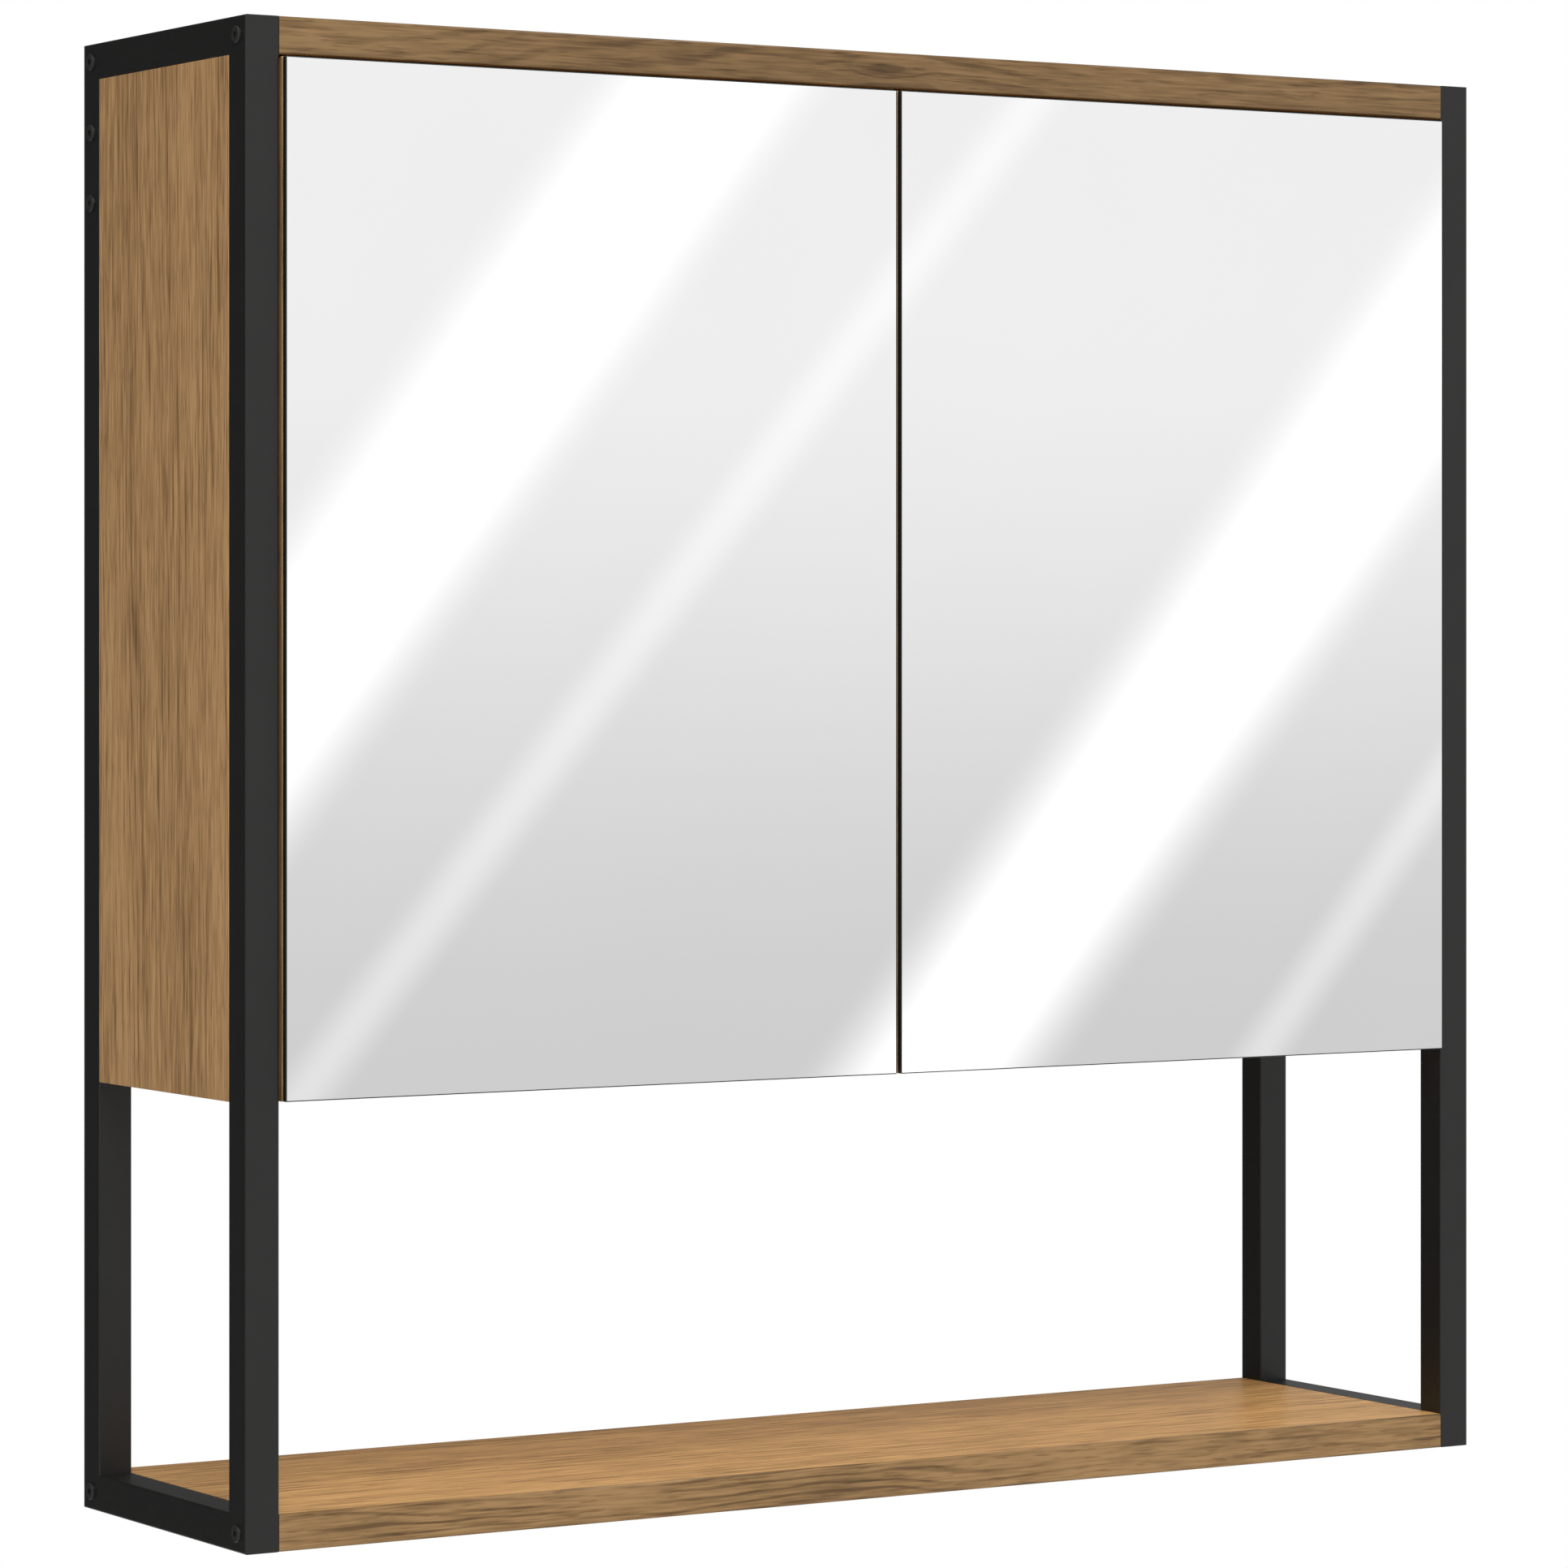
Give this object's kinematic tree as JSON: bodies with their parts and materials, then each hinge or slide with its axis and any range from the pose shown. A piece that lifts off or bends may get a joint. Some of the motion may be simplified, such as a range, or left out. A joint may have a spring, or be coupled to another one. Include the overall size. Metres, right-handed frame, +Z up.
{
  "type": "medicine cabinet with mirror",
  "caption": "Wall cabinet in a black square-tube frame: mirror doors on concealed hinges, wood-decor body, and an open shelf along the bottom.",
  "frame": {"origin": "midway between the two wall screw holes, on the plane that touches the wall", "axes": "+X to the right seen from the front, +Y into the wall, +Z up; the doors face -Y"},
  "size_m": [0.6522, 0.1649, 0.65],
  "materials": {
    "frame_steel": "satin black powder coat",
    "frame_screw_steel": "black oxide, satin",
    "side_panel_decor": "matt oak decor with upright grain",
    "board_decor": "satin oak decor with grain along the board",
    "door_decor": "satin oak decor",
    "edge_band": "matt oak edge band",
    "back_board": "thin fibreboard, printed face",
    "mirror_glass": "silvered float glass",
    "foam_tape": "black double-sided foam",
    "bumper_silicone": "clear silicone",
    "cam_zinc": "die-cast zinc",
    "pin_steel": "drawn steel",
    "fitting_screw_steel": "zinc plated",
    "hinge_steel": "nickel plated pressed steel"
  },
  "bodies": {
    "cabinet": {"left_front_post": "frame_steel", "left_rear_post": "frame_steel", "left_top_rail": "frame_steel", "left_bottom_rail": "frame_steel", "left_side_panel": "side_panel_decor", "left_panel_dowels": "pin_steel", "left_hinge_arms": "hinge_steel", "left_arm_pins": "pin_steel", "left_arm_screws": "fitting_screw_steel", "left_hinge_plates": "hinge_steel", "left_plate_screws": "fitting_screw_steel", "right_front_post": "frame_steel", "right_rear_post": "frame_steel", "right_top_rail": "frame_steel", "right_bottom_rail": "frame_steel", "right_side_panel": "side_panel_decor", "right_panel_dowels": "pin_steel", "right_hinge_arms": "hinge_steel", "right_arm_pins": "pin_steel", "right_arm_screws": "fitting_screw_steel", "right_hinge_plates": "hinge_steel", "right_plate_screws": "fitting_screw_steel", "top_board": "board_decor", "top_board_edging": "edge_band", "open_shelf": "board_decor", "open_shelf_edging": "edge_band", "hanging_rail": "board_decor", "back_panel": "back_board", "cabinet_floor": "board_decor", "cabinet_floor_edging": "edge_band", "floor_cams": "cam_zinc", "floor_cam_bolts": "cam_zinc", "inner_shelf": "board_decor", "inner_shelf_edging": "edge_band", "shelf_pins": "pin_steel", "top_board_screws": "frame_screw_steel", "hanging_rail_screws": "frame_screw_steel", "open_shelf_screws": "frame_screw_steel"},
    "left_links": {"left_hinge_links": "hinge_steel"},
    "left_door": {"left_door_board": "door_decor", "left_mirror": "mirror_glass", "left_mirror_tape": "foam_tape", "left_door_bumper": "bumper_silicone", "left_hinge_cups": "hinge_steel", "left_cup_pins": "pin_steel", "left_cup_screws": "fitting_screw_steel"},
    "right_links": {"right_hinge_links": "hinge_steel"},
    "right_door": {"right_door_board": "door_decor", "right_mirror": "mirror_glass", "right_mirror_tape": "foam_tape", "right_door_bumper": "bumper_silicone", "right_hinge_cups": "hinge_steel", "right_cup_pins": "pin_steel", "right_cup_screws": "fitting_screw_steel"}
  },
  "joints": [
    {"name": "left_link_turn", "type": "hinge", "parent": "cabinet", "child": "left_links", "pos_m": [-0.2734, -0.147, -0.18325], "axis": [0, 0, -1], "range_deg": [-44.4, 0]},
    {"name": "left_door_turn", "type": "hinge", "parent": "left_links", "child": "left_door", "pos_m": [-0.2976, -0.1535, -0.18325], "axis": [0, 0, -1], "range_deg": [0, 139.12]},
    {"name": "right_link_turn", "type": "hinge", "parent": "cabinet", "child": "right_links", "pos_m": [0.2734, -0.147, -0.18325], "axis": [0, 0, 1], "range_deg": [-44.4, 0]},
    {"name": "right_door_turn", "type": "hinge", "parent": "right_links", "child": "right_door", "pos_m": [0.2976, -0.1535, -0.18325], "axis": [0, 0, 1], "range_deg": [0, 139.12]}
  ],
  "couplings": [
    {"joint": "left_link_turn", "follows": "left_door_turn", "ratio": -0.31713},
    {"joint": "right_link_turn", "follows": "right_door_turn", "ratio": -0.31713}
  ]
}
